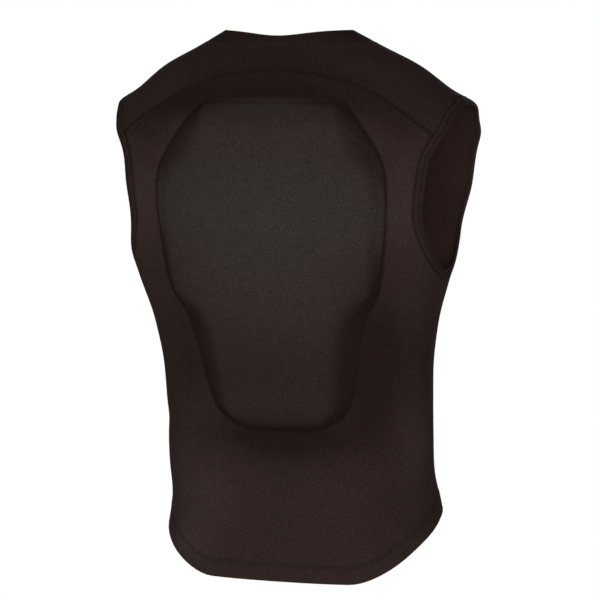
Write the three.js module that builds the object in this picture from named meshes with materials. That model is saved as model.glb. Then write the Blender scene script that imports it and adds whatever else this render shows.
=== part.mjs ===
// Protective jersey: a sleeveless stretch vest with a back protector under a moulded cover.
// Millimetres, +Z up, the front towards -Y, +X the wearer's left.
// The origin lies midway between the two high shoulder points, where the neck seam crosses the shoulders.
import * as THREE from 'three';
import { mergeVertices } from 'three/addons/utils/BufferGeometryUtils.js';

const DEGREE = Math.PI / 180;
const HALF_TURN = 180 * DEGREE;
const SIDE = 90 * DEGREE;

// Walls of cloth, and the small gap that sewn pieces keep
const CLOTH = 2;
const DOUBLED = 3;
const BAND_CROWN = 0.6;
const SEAM_GAP = 0.3;
const POCKET_GAP = 0.3;
const TOUCHING = 1e-4;

// Level sections of the cloth, from below the hem up: height, half width at the side line, depth behind
// and before that line, squareness of the back and the front, and how far back the side line lies
const SECTIONS = [
  { z: -730, half: 174, back: 96, front: 108, backSquare: 2.5, frontSquare: 2.2, lean: -48 },
  { z: -630, half: 171, back: 93, front: 107, backSquare: 2.5, frontSquare: 2.2, lean: -46 },
  { z: -550, half: 167, back: 76, front: 107, backSquare: 2.5, frontSquare: 2.2, lean: -40 },
  { z: -470, half: 167, back: 67, front: 108, backSquare: 2.5, frontSquare: 2.2, lean: -35 },
  { z: -400, half: 168, back: 70, front: 114, backSquare: 2.6, frontSquare: 2.2, lean: -28 },
  { z: -340, half: 175, back: 78, front: 120, backSquare: 2.8, frontSquare: 2.3, lean: -20 },
  { z: -285, half: 190, back: 88, front: 124, backSquare: 3.2, frontSquare: 2.3, lean: -16 },
  { z: -230, half: 206, back: 98, front: 127, backSquare: 3.7, frontSquare: 2.7, lean: -20 },
  { z: -170, half: 230, back: 103, front: 127, backSquare: 3.9, frontSquare: 2.9, lean: -22 },
  { z: -115, half: 235, back: 95, front: 117, backSquare: 3.4, frontSquare: 2.9, lean: -20 },
  { z: -90, half: 228, back: 91, front: 109, backSquare: 2.8, frontSquare: 2.7, lean: -17 },
  { z: -75, half: 222, back: 84, front: 101, backSquare: 2.4, frontSquare: 2.6, lean: -15 },
  { z: -56, half: 195, back: 77, front: 88, backSquare: 2.2, frontSquare: 2.0, lean: -12 },
  { z: -29, half: 160, back: 64, front: 73, backSquare: 2.1, frontSquare: 1.8, lean: -6 },
  { z: -4, half: 111, back: 50, front: 60, backSquare: 2.0, frontSquare: 2.0, lean: 0 },
  { z: 14, half: 79, back: 42, front: 50, backSquare: 2.0, frontSquare: 2.0, lean: 4 },
  { z: 26, half: 70, back: 40, front: 48, backSquare: 2.0, frontSquare: 2.0, lean: 6 },
];

// Heights round the neck at the back, the sides and the front
const NECK_SEAM = { back: -7, side: 0, front: -80 };
const NECK_TOP = { back: 7, side: 14, front: -62 };

// Hem: its height at the back and the front, the angles from the spine between which it rises, and the
// width that is turned up inside
const HEM = { back: -647, front: -567, riseFrom: 45 * DEGREE, riseTo: 104 * DEGREE, turnedUp: 20 };

// Armhole seen from the side: its top and foot, its middle, and how far it reaches back and forward
const ARMHOLE = { top: -72, foot: -270, middle: -11, back: 78, front: 99, band: 10 };

// Seam across the upper back: height at the spine, its drop at a given half width, and the half width of
// the stretch that lies over the protector's top
const YOKE = { spine: -35, drop: 72, half: 190, power: 2.25, knee: 108 };

// Front end of the yoke: its angle at the neck and its turn on the armhole, forward of the shoulder line
const SHOULDER_SEAM = { neckAngle: 112 * DEGREE, armholeTurn: -25 * DEGREE };

// Protector cover, from its top seam down: height, half width of the raised column, of the wing or slope
// beside it and of the seam, how far column and wing rise, and the steps down to the next row
const PROTECTOR = [
  { z: -65, column: 70, wing: 75, seam: 80, rise: 0, wingRise: 0, steps: 1 },
  { z: -71, column: 76, wing: 82, seam: 88, rise: 13, wingRise: 7, steps: 1 },
  { z: -77, column: 78, wing: 86, seam: 93, rise: 18, wingRise: 9, steps: 1 },
  { z: -92, column: 79, wing: 94, seam: 106, rise: 20, wingRise: 9, steps: 2 },
  { z: -135, column: 79, wing: 110, seam: 134, rise: 21, wingRise: 9, steps: 1 },
  { z: -148, column: 80, wing: 115, seam: 139, rise: 21, wingRise: 15, steps: 1 },
  { z: -172, column: 81, wing: 119, seam: 142, rise: 22, wingRise: 18, steps: 3 },
  { z: -260, column: 81, wing: 118, seam: 135, rise: 22, wingRise: 18, steps: 1 },
  { z: -292, column: 79, wing: 115, seam: 129, rise: 21, wingRise: 17, steps: 1 },
  { z: -306, column: 77, wing: 105, seam: 123, rise: 21, wingRise: 10, steps: 1 },
  { z: -322, column: 73, wing: 94, seam: 113, rise: 20, wingRise: 9, steps: 1 },
  { z: -345, column: 68, wing: 86, seam: 105, rise: 20, wingRise: 9, steps: 3 },
  { z: -427, column: 62, wing: 76, seam: 88, rise: 19, wingRise: 9, steps: 2 },
  { z: -446, column: 55, wing: 67, seam: 77, rise: 18, wingRise: 9, steps: 1 },
  { z: -454, column: 48, wing: 58, seam: 67, rise: 13, wingRise: 8, steps: 1 },
  { z: -461, column: 41, wing: 48, seam: 55, rise: 6, wingRise: 4, steps: 1 },
  { z: -466, column: 34, wing: 39, seam: 44, rise: 0, wingRise: 0, steps: 0 },
];
const SPINE_CROWN = 2;

// Steps of the mesh along each seam
const COLUMN_STEPS = 4;
const WING_STEPS = 3;
const SLOPE_STEPS = 3;
const HALF_COVER_STEPS = COLUMN_STEPS + WING_STEPS + SLOPE_STEPS;
const COVER_ROWS = PROTECTOR.reduce((sum, row) => sum + row.steps, 0);
const YOKE_END_STEPS = 4;
const ARM_BACK_STEPS = 9;
const ARM_FRONT_STEPS = 11;
const ARM_TOP_STEPS = 8;
const SIDE_STEPS = COVER_ROWS - YOKE_END_STEPS - ARM_BACK_STEPS;
const SHOULDER_STEPS = 5;
const HALF_THROAT_STEPS = 5;
const FRONT_HEM_STEPS = SHOULDER_STEPS + HALF_THROAT_STEPS;

const COLOURS = {
  panel: '#272020',
  cover: '#2b2423',
  yoke: '#241d1d',
  band: '#1d1717',
  pad: '#3b3c3e',
};

// Curve through one column of a table of heights, with no overshoot between rows
function columnCurve(table, key) {
  const rows = [...table].sort((p, q) => p.z - q.z);
  const spans = rows.slice(1).map((row, i) => row.z - rows[i].z);
  const rates = rows.slice(1).map((row, i) => (row[key] - rows[i][key]) / spans[i]);
  const slopes = rows.map((row, i) => {
    if (i === 0 || i === rows.length - 1) {
      return rates[Math.min(i, rates.length - 1)];
    }
    const [before, after] = [rates[i - 1], rates[i]];
    return before * after > 0 ? (2 * before * after) / (before + after) : 0;
  });
  return (z) => {
    const found = rows.findIndex((row) => row.z > z);
    const upper = found < 0 ? rows.length - 1 : Math.max(found, 1);
    const [low, high] = [rows[upper - 1], rows[upper]];
    const span = spans[upper - 1];
    const t = THREE.MathUtils.clamp((z - low.z) / span, 0, 1);
    const bend = slopes[upper - 1] * span * t * (1 - t) ** 2 + slopes[upper] * span * t * t * (t - 1);
    return low[key] + (high[key] - low[key]) * t * t * (3 - 2 * t) + bend;
  };
}

function tableCurves(table) {
  const keys = Object.keys(table[0]).filter((key) => key !== 'z');
  const curves = keys.map((key) => [key, columnCurve(table, key)]);
  return (z) => Object.fromEntries(curves.map(([key, curve]) => [key, curve(z)]));
}

const sectionAt = tableCurves(SECTIONS);
const protectorAt = tableCurves(PROTECTOR);

// Point of the cloth's outer face. A place is an angle round the body, 0 at the spine and positive
// towards the wearer's left, and a height.
function skin({ angle, z }) {
  const s = sectionAt(z);
  const across = Math.sin(angle);
  const along = Math.cos(angle);
  const [depth, square] = along >= 0 ? [s.back, s.backSquare] : [s.front, s.frontSquare];
  const radius = (Math.abs(across / s.half) ** square + Math.abs(along / depth) ** square) ** (-1 / square);
  return new THREE.Vector3(radius * across, s.lean + radius * along, z);
}

function skinNormal({ angle, z }) {
  const turn = 0.001;
  const lift = 0.2;
  const round = skin({ angle: angle + turn, z }).sub(skin({ angle: angle - turn, z }));
  const up = skin({ angle, z: z + lift }).sub(skin({ angle, z: z - lift }));
  return up.cross(round).normalize();
}

// Place on the back with a given x, place on the left side with a given y, and place nearest a point
function placeAtX(x, z) {
  const s = sectionAt(z);
  const share = Math.min(Math.abs(x) / s.half, 1);
  const depth = s.back * (1 - share ** s.backSquare) ** (1 / s.backSquare);
  return { angle: Math.atan2(x, depth), z };
}

function placeAtY(y, z) {
  const s = sectionAt(z);
  const behind = y - s.lean;
  const [depth, square] = behind >= 0 ? [s.back, s.backSquare] : [s.front, s.frontSquare];
  const share = Math.min(Math.abs(behind) / depth, 1);
  return { angle: Math.atan2(s.half * (1 - share ** square) ** (1 / square), behind), z };
}

function placeOfPoint(point) {
  return { angle: Math.atan2(point.x, point.y - sectionAt(point.z).lean), z: point.z };
}

const mirror = (place) => ({ angle: -place.angle, z: place.z });

function between(p, q, share) {
  const { lerp } = THREE.MathUtils;
  return { angle: lerp(p.angle, q.angle, share), z: lerp(p.z, q.z, share) };
}

function steps(count, place) {
  return Array.from({ length: count + 1 }, (_, i) => place(i / count));
}

// Chains end to end, each sharing its first place with the last one before it
function joined(...chains) {
  return chains.reduce((whole, chain) => [...whole, ...chain.slice(1)]);
}

// Whole loop from its left half, which runs from the back centre to the back or front centre
function loopOf(half) {
  return [...half, ...half.slice(1, -1).reverse().map(mirror)];
}

// Heights of the neck and of the hem by angle
function neckHeight(ring, angle) {
  const end = Math.cos(angle) >= 0 ? ring.back : ring.front;
  return end + (ring.side - end) * Math.sin(angle) ** 2;
}

function hemHeight(angle) {
  const fromSpine = Math.acos(Math.cos(angle));
  const rise = THREE.MathUtils.smoothstep(fromSpine, HEM.riseFrom, HEM.riseTo);
  return THREE.MathUtils.lerp(HEM.back, HEM.front, rise);
}

const hemPlace = (angle) => ({ angle, z: hemHeight(angle) });
const neckPlace = (angle, ring = NECK_SEAM) => ({ angle, z: neckHeight(ring, angle) });

// Left armhole by turn: 0 at the shoulder, a quarter turn behind, half a turn at the armpit
function armholeEdge(turn) {
  const reach = Math.sin(turn) >= 0 ? ARMHOLE.back : ARMHOLE.front;
  const centre = (ARMHOLE.top + ARMHOLE.foot) / 2;
  const z = centre + ((ARMHOLE.top - ARMHOLE.foot) / 2) * Math.cos(turn);
  return placeAtY(ARMHOLE.middle + reach * Math.sin(turn), z);
}

// Seam of the armhole band, one band's width out from the edge along the cloth
function armholeSeam(turn) {
  const edge = armholeEdge(turn);
  const small = 0.01;
  const along = skin(armholeEdge(turn + small)).sub(skin(armholeEdge(turn - small)));
  const out = skinNormal(edge).cross(along).normalize();
  return placeOfPoint(skin(edge).addScaledVector(out, ARMHOLE.band));
}

const yokeHeight = (x) => YOKE.spine - YOKE.drop * (Math.abs(x) / YOKE.half) ** YOKE.power;

// Turn at which the yoke seam runs into the armhole band
function yokeTurn() {
  let [above, below] = [0, SIDE];
  for (let i = 0; i < 40; i += 1) {
    const middle = (above + below) / 2;
    const place = armholeSeam(middle);
    if (place.z > yokeHeight(skin(place).x)) {
      above = middle;
    } else {
      below = middle;
    }
  }
  return above;
}

const YOKE_TURN = yokeTurn();
const YOKE_HALF = skin(armholeSeam(YOKE_TURN)).x;

// Left halves of the seams, each sampled once for the pieces on both its sides
const yokePlace = (x) => placeAtX(x, yokeHeight(x));
const yokeSeam = joined(
  steps(HALF_COVER_STEPS, (t) => yokePlace(YOKE.knee * t)),
  steps(YOKE_END_STEPS, (t) => yokePlace(THREE.MathUtils.lerp(YOKE.knee, YOKE_HALF, t))),
);
const armBackSeam = steps(ARM_BACK_STEPS, (t) => armholeSeam(YOKE_TURN + (HALF_TURN - YOKE_TURN) * t));
const armFrontSeam = steps(ARM_FRONT_STEPS, (t) =>
  armholeSeam(HALF_TURN + (HALF_TURN + SHOULDER_SEAM.armholeTurn) * t));
const armTopSeam = steps(ARM_TOP_STEPS, (t) =>
  armholeSeam(SHOULDER_SEAM.armholeTurn + (YOKE_TURN - SHOULDER_SEAM.armholeTurn) * t));
const sideSeam = steps(SIDE_STEPS, (t) => between(armholeSeam(HALF_TURN), hemPlace(SIDE), t));
const backHem = steps(HALF_COVER_STEPS, (t) => hemPlace(SIDE * (1 - t)));
const neckCorner = neckPlace(SHOULDER_SEAM.neckAngle);
const shoulderSeam = steps(SHOULDER_STEPS, (t) => between(neckCorner, armTopSeam[0], t));

// Solid between an outer and an inner grid of points. A grid that wraps closes on itself along its rows.
function solid(name, colour, outer, inner, wraps = false) {
  const rows = outer.length;
  const columns = outer[0].length;
  const points = [...outer.flat(), ...inner.flat()];
  const inside = rows * columns;
  const index = [];
  const at = (i, j) => i * columns + (j % columns);
  const triangle = (...corners) => {
    const places = corners.map((corner) => points[corner]);
    if (places.every((place, i) => place.distanceTo(places[(i + 1) % 3]) > TOUCHING)) {
      index.push(...corners);
    }
  };
  const quad = (a, b, c, d) => {
    triangle(a, b, c);
    triangle(a, c, d);
  };
  const lastColumn = wraps ? columns : columns - 1;
  for (let i = 0; i < rows - 1; i += 1) {
    for (let j = 0; j < lastColumn; j += 1) {
      const [a, b, c, d] = [at(i, j), at(i, j + 1), at(i + 1, j + 1), at(i + 1, j)];
      quad(a, b, c, d);
      quad(a + inside, d + inside, c + inside, b + inside);
    }
  }
  const rim = (a, b) => {
    if (points[a].z > points[b].z) {
      quad(a, a + inside, b + inside, b);
    } else {
      quad(b, a, a + inside, b + inside);
    }
  };
  for (let j = 0; j < lastColumn; j += 1) {
    rim(at(0, j), at(0, j + 1));
    rim(at(rows - 1, j + 1), at(rows - 1, j));
  }
  for (let i = 0; !wraps && i < rows - 1; i += 1) {
    rim(at(i + 1, 0), at(i, 0));
    rim(at(i, columns - 1), at(i + 1, columns - 1));
  }
  const loose = new THREE.BufferGeometry();
  loose.setAttribute('position', new THREE.Float32BufferAttribute(points.flatMap((p) => p.toArray()), 3));
  loose.setIndex(enclosedVolume(points, index) > 0 ? index : index.reverse());
  const geometry = mergeVertices(loose, TOUCHING);
  geometry.computeVertexNormals();
  const material = new THREE.MeshStandardMaterial({ color: colour, roughness: 0.9, metalness: 0 });
  const mesh = new THREE.Mesh(geometry, material);
  mesh.name = name;
  return mesh;
}

function enclosedVolume(points, index) {
  let sum = 0;
  for (let i = 0; i < index.length; i += 3) {
    const [a, b, c] = [points[index[i]], points[index[i + 1]], points[index[i + 2]]];
    sum += a.dot(b.clone().cross(c)) / 6;
  }
  return sum;
}

// Draws the sewn edges of a grid of places back along the cloth by half a seam's gap
function relieve(grid, { first = false, last = false, sides = false }) {
  const drawn = (place, towards) => {
    const length = skin(place).distanceTo(skin(towards));
    return length < TOUCHING ? place : { ...place, ...between(place, towards, SEAM_GAP / 2 / length) };
  };
  const rows = grid.map((row) => [...row]);
  if (sides) {
    rows.forEach((row, i) => {
      row[0] = drawn(row[0], grid[i][1]);
      row[row.length - 1] = drawn(row[row.length - 1], grid[i][row.length - 2]);
    });
  }
  const drawRow = (i, next) => {
    rows[i] = rows[i].map((place, j) => drawn(place, rows[next][j]));
  };
  if (first) {
    drawRow(0, 1);
  }
  if (last) {
    drawRow(rows.length - 1, rows.length - 2);
  }
  return rows;
}

// Wall of cloth over a grid of places, raised and thickened row by row or place by place
function clothWall(name, colour, places, { thick, lift = () => 0, sewn, wraps = false }) {
  const edged = relieve(places, sewn);
  const face = (depth) =>
    edged.map((row, i) =>
      row.map((place) => skin(place).addScaledVector(skinNormal(place), lift(i) - depth(place))));
  return solid(name, colour, face(() => 0), face(thick), wraps);
}

// The hem is turned up inside, so the panels thicken towards it
function panelWall({ angle, z }) {
  const above = z - hemHeight(angle);
  const single = THREE.MathUtils.smoothstep(above, HEM.turnedUp / 2, HEM.turnedUp * 1.5);
  return THREE.MathUtils.lerp(DOUBLED, CLOTH, single);
}

const plainWall = () => CLOTH;
const bandWall = () => DOUBLED;

// Protector cover as a grid of places with the rise of each, across the whole back, from the top seam down
function coverRow(z) {
  const p = protectorAt(z);
  const crown = p.rise > 0 ? SPINE_CROWN : 0;
  const half = [
    ...steps(COLUMN_STEPS, (t) => ({ x: p.column * t, rise: p.rise + crown * (1 - t * t) })),
    ...steps(WING_STEPS, (t) => ({
      x: THREE.MathUtils.lerp(p.column, p.wing, t),
      rise: THREE.MathUtils.lerp(p.rise, p.wingRise, THREE.MathUtils.smoothstep(t, 0, 1)),
    })).slice(1),
    ...steps(SLOPE_STEPS, (t) => ({
      x: THREE.MathUtils.lerp(p.wing, p.seam, t),
      rise: p.wingRise * Math.cos(SIDE * t),
    })).slice(1),
  ];
  const right = half.slice(1).reverse().map(({ x, rise }) => ({ x: -x, rise }));
  return [...right, ...half].map(({ x, rise }) => ({ ...placeAtX(x, z), rise }));
}

function coverHeights() {
  const spans = PROTECTOR.slice(0, -1).map((row, i) =>
    steps(row.steps, (t) => THREE.MathUtils.lerp(row.z, PROTECTOR[i + 1].z, t)));
  return joined(...spans);
}

const coverSeam = coverHeights().map(coverRow);
const cover = relieve(coverSeam, { first: true, last: true, sides: true });
const coverOuter = cover.map((row) =>
  row.map((place) => skin(place).addScaledVector(skinNormal(place), place.rise)));

// Direction out of the cover's moulded face. On the seam it is that of the cloth around it.
const coverNormals = cover.map((row, i) =>
  row.map((place, j) => {
    if (i === 0 || i === cover.length - 1 || j === 0 || j === row.length - 1) {
      return skinNormal(place);
    }
    const down = coverOuter[i + 1][j].clone().sub(coverOuter[i - 1][j]);
    const left = coverOuter[i][j + 1].clone().sub(coverOuter[i][j - 1]);
    return left.cross(down).normalize();
  }));

const sunkCover = (depth) =>
  coverOuter.map((row, i) =>
    row.map((point, j) => point.clone().addScaledVector(coverNormals[i][j], -depth)));

const protectorCover = () => solid('protector_cover', COLOURS.cover, coverOuter, sunkCover(CLOTH));

// The protector fills the cover from inside, down to the level of the cloth's inner face
function protectorPad() {
  const trimmed = (grid) => grid.slice(1, -1).map((row) => row.slice(1, -1));
  const outer = trimmed(sunkCover(CLOTH + POCKET_GAP));
  const inner = trimmed(cover).map((row) =>
    row.map((place) => skin(place).addScaledVector(skinNormal(place), -CLOTH)));
  return solid('protector_pad', COLOURS.pad, outer, inner);
}

// Back panel: rings from the cover's seam out to the yoke, the armholes, the sides and the hem
const BACK_RINGS = [0, 0.08, 0.22, 0.42, 0.66, 0.88, 1];

function backPanel() {
  const leftSide = coverSeam.map((row) => row[row.length - 1]);
  const leftTop = coverSeam[0].slice(HALF_COVER_STEPS);
  const leftFoot = coverSeam[COVER_ROWS].slice(HALF_COVER_STEPS).reverse();
  const inside = loopOf(joined(leftTop, leftSide, leftFoot));
  const outside = loopOf(joined(yokeSeam, armBackSeam, sideSeam, backHem));
  const places = BACK_RINGS.map((share) => inside.map((place, j) => between(place, outside[j], share)));
  const sewn = { first: true, last: true };
  return clothWall('back_panel', COLOURS.panel, places, { thick: panelWall, sewn, wraps: true });
}

// Front panel: rows from the armhole and the side across the centre line to the other side, from the neck
// and the shoulders down to the hem. Rows near the top and the hem bow with them, the others run straight.
const FRONT_MIDDLE = { z: -400, bowPower: 3 };

function frontPanel() {
  const { lerp } = THREE.MathUtils;
  const throat = steps(HALF_THROAT_STEPS, (t) => neckPlace(lerp(neckCorner.angle, HALF_TURN, t)));
  const top = joined([...shoulderSeam].reverse(), throat);
  const hem = steps(FRONT_HEM_STEPS, (t) => hemPlace(SIDE * (1 + t)));
  const edge = joined([...armFrontSeam].reverse(), sideSeam);
  const centreHeights = joined(
    steps(ARM_FRONT_STEPS, (t) => lerp(NECK_SEAM.front, FRONT_MIDDLE.z, t)),
    steps(SIDE_STEPS, (t) => lerp(FRONT_MIDDLE.z, HEM.front, t)),
  );
  const bow = (chain, j, key) => {
    const straight = between(chain[0], chain[FRONT_HEM_STEPS], j / FRONT_HEM_STEPS);
    return chain[j][key] - straight[key];
  };
  const places = edge.map((place, i) => {
    const down = i / (edge.length - 1);
    const nearTop = (1 - down) ** FRONT_MIDDLE.bowPower;
    const nearHem = down ** FRONT_MIDDLE.bowPower;
    const bowed = (key, j) => nearTop * bow(top, j, key) + nearHem * bow(hem, j, key);
    const left = steps(FRONT_HEM_STEPS, (t) => {
      const straight = between(place, { angle: HALF_TURN, z: centreHeights[i] }, t);
      const j = Math.round(t * FRONT_HEM_STEPS);
      return { angle: straight.angle + bowed('angle', j), z: straight.z + bowed('z', j) };
    });
    const right = left.slice(0, -1).reverse().map(({ angle, z }) => ({ angle: 2 * HALF_TURN - angle, z }));
    return [...left, ...right];
  });
  const sewn = { first: true, sides: true };
  return clothWall('front_panel', COLOURS.panel, places, { thick: panelWall, sewn });
}

// Angles of the neck seam along the yoke, from the left front corner round the nape to the right one
const YOKE_NECK = [
  { from: neckCorner.angle, to: 86 * DEGREE, count: ARM_TOP_STEPS },
  { from: 86 * DEGREE, to: 58 * DEGREE, count: YOKE_END_STEPS },
  { from: 58 * DEGREE, to: 0, count: HALF_COVER_STEPS },
];
const leftNeck = joined(...YOKE_NECK.map(({ from, to, count }) =>
  steps(count, (t) => THREE.MathUtils.lerp(from, to, t))));
const yokeNeck = joined(leftNeck, [...leftNeck].reverse().map((angle) => -angle));

// Yoke: a saddle over both shoulders, from the neck out to the armholes and the seam across the back
function shoulderYoke() {
  const half = joined(armTopSeam, [...yokeSeam].reverse());
  const outside = joined(half, [...half].reverse().map(mirror));
  const places = steps(SHOULDER_STEPS, (t) =>
    outside.map((place, j) => between(neckPlace(yokeNeck[j]), place, t)));
  const sewn = { first: true, last: true, sides: true };
  return clothWall('shoulder_yoke', COLOURS.yoke, places, { thick: plainWall, sewn });
}

// Doubled bands, crowned across their width and eased at the free edge
const BAND_ROWS = [
  { share: 0, lift: 0 },
  { share: 0.45, lift: BAND_CROWN },
  { share: 0.85, lift: BAND_CROWN },
  { share: 1, lift: -BAND_CROWN / 2 },
];
const bandLift = (row) => BAND_ROWS[row].lift;
const bandStyle = { thick: bandWall, lift: bandLift, sewn: { first: true }, wraps: true };

function neckband() {
  const front = steps(2 * HALF_THROAT_STEPS, (t) =>
    THREE.MathUtils.lerp(-neckCorner.angle, neckCorner.angle - 2 * HALF_TURN, t));
  const angles = joined(yokeNeck, front).slice(0, -1);
  const places = BAND_ROWS.map(({ share }) =>
    angles.map((angle) => between(neckPlace(angle), neckPlace(angle, NECK_TOP), share)));
  return clothWall('neckband', COLOURS.band, places, bandStyle);
}

function armholeBand(name, side) {
  const start = SHOULDER_SEAM.armholeTurn;
  const stretches = [
    [start, YOKE_TURN, ARM_TOP_STEPS],
    [YOKE_TURN, HALF_TURN, ARM_BACK_STEPS],
    [HALF_TURN, 2 * HALF_TURN + start, ARM_FRONT_STEPS],
  ];
  const turns = joined(...stretches.map(([from, to, count]) =>
    steps(count, (t) => THREE.MathUtils.lerp(from, to, t)))).slice(0, -1);
  const left = BAND_ROWS.map(({ share }) =>
    turns.map((turn) => between(armholeSeam(turn), armholeEdge(turn), share)));
  const places = side > 0 ? left : left.map((row) => row.map(mirror));
  return clothWall(name, COLOURS.band, places, bandStyle);
}

const jersey = new THREE.Group();
jersey.name = 'protective_jersey';
jersey.add(
  shoulderYoke(),
  backPanel(),
  protectorCover(),
  protectorPad(),
  frontPanel(),
  neckband(),
  armholeBand('armhole_band_left', 1),
  armholeBand('armhole_band_right', -1),
);

export default jersey;
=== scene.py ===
"""Looks of the protective jersey: a sleeveless stretch vest with a back protector under a moulded cover.

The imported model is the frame: metres, +Z up, the front towards -Y and +X the wearer's left. Sizes of
the pattern are in millimetres, and MM turns them into metres. A place on the cloth is a pair of numbers:
an angle round the body, 0 at the spine and positive towards the wearer's left, and a height.
"""

import logging
import math
from dataclasses import dataclass, field, fields
from enum import Enum
from typing import Any, Sequence

import bmesh
import bpy
import numpy as np
from mathutils import Matrix, Vector


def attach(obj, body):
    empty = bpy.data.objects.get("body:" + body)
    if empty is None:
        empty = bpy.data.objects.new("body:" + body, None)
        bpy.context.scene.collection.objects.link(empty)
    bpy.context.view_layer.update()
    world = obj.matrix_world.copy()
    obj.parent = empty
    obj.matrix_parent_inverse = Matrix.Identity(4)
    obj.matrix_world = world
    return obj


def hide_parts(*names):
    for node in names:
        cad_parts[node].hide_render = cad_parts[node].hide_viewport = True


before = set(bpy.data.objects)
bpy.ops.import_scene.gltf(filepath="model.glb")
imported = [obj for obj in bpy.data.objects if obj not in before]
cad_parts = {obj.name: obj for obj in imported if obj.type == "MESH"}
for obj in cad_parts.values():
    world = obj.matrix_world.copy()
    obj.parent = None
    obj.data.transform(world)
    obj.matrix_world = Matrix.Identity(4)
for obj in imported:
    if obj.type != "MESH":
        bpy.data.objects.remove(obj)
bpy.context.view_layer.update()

LOG = logging.getLogger("jersey")
Array = np.ndarray
Colour = tuple[float, float, float, float]
Span = tuple[float, float]
MM = 0.001
QUARTER = math.pi / 2
HALF_TURN = math.pi
FULL_TURN = 2 * math.pi
BODY = "root"
BODY_CENTRE = Vector((0.0, -0.02, -0.32))
# Attribute of the knit's stretch, which also carries painted light (higher) and painted shade (lower).
STRETCH_AND_PAINTED_LIGHT = "stretch"
HEM_HEIGHT = "hem_height"
CLOTH_UV = "cloth"
METRES_PER_RADIAN = 0.16
GRID_HALF = 0.5


class Side(Enum):
    """Side of the wearer, as the sign of x."""

    LEFT = 1
    RIGHT = -1


class Slot(Enum):
    """Material slots of the record."""

    YOKE = "yoke_cloth"
    PANEL = "panel_cloth"
    COVER = "cover_cloth"
    BAND = "band_cloth"
    PAD = "pad_foam"


@dataclass(frozen=True)
class Section:
    """Level section of the cloth: half width, depth behind and in front, squareness and lean."""

    z: float
    half: float
    back: float
    front: float
    back_square: float
    front_square: float
    lean: float


SECTIONS = (
    Section(-730, 174, 96, 108, 2.5, 2.2, -48),
    Section(-630, 171, 93, 107, 2.5, 2.2, -46),
    Section(-550, 167, 76, 107, 2.5, 2.2, -40),
    Section(-470, 167, 67, 108, 2.5, 2.2, -35),
    Section(-400, 168, 70, 114, 2.6, 2.2, -28),
    Section(-340, 175, 78, 120, 2.8, 2.3, -20),
    Section(-285, 190, 88, 124, 3.2, 2.3, -16),
    Section(-230, 206, 98, 127, 3.7, 2.7, -20),
    Section(-170, 230, 103, 127, 3.9, 2.9, -22),
    Section(-115, 235, 95, 117, 3.4, 2.9, -20),
    Section(-90, 228, 91, 109, 2.8, 2.7, -17),
    Section(-75, 222, 84, 101, 2.4, 2.6, -15),
    Section(-56, 195, 77, 88, 2.2, 2.0, -12),
    Section(-29, 160, 64, 73, 2.1, 1.8, -6),
    Section(-4, 111, 50, 60, 2.0, 2.0, 0),
    Section(14, 79, 42, 50, 2.0, 2.0, 4),
    Section(26, 70, 40, 48, 2.0, 2.0, 6),
)


@dataclass(frozen=True)
class ProtectorRow:
    """Row of the cover: half widths of column, wing and seam, two rises, and steps to the next row."""

    z: float
    column: float
    wing: float
    seam: float
    rise: float
    wing_rise: float
    steps: int


PROTECTOR = (
    ProtectorRow(-65, 70, 75, 80, 0, 0, 1),
    ProtectorRow(-71, 76, 82, 88, 13, 7, 1),
    ProtectorRow(-77, 78, 86, 93, 18, 9, 1),
    ProtectorRow(-92, 79, 94, 106, 20, 9, 2),
    ProtectorRow(-135, 79, 110, 134, 21, 9, 1),
    ProtectorRow(-148, 80, 115, 139, 21, 15, 1),
    ProtectorRow(-172, 81, 119, 142, 22, 18, 3),
    ProtectorRow(-260, 81, 118, 135, 22, 18, 1),
    ProtectorRow(-292, 79, 115, 129, 21, 17, 1),
    ProtectorRow(-306, 77, 105, 123, 21, 10, 1),
    ProtectorRow(-322, 73, 94, 113, 20, 9, 1),
    ProtectorRow(-345, 68, 86, 105, 20, 9, 3),
    ProtectorRow(-427, 62, 76, 88, 19, 9, 2),
    ProtectorRow(-446, 55, 67, 77, 18, 9, 1),
    ProtectorRow(-454, 48, 58, 67, 13, 8, 1),
    ProtectorRow(-461, 41, 48, 55, 6, 4, 1),
    ProtectorRow(-466, 34, 39, 44, 0, 0, 0),
)
SPINE_CROWN = 2.0


@dataclass(frozen=True)
class PaintedLightAndShadePatch:
    """Soft patch of painted light on the back where its amount is above 0, and of painted shade where it
    is below.
    """

    x: float
    z: float
    across: float
    along: float
    amount: float


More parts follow.
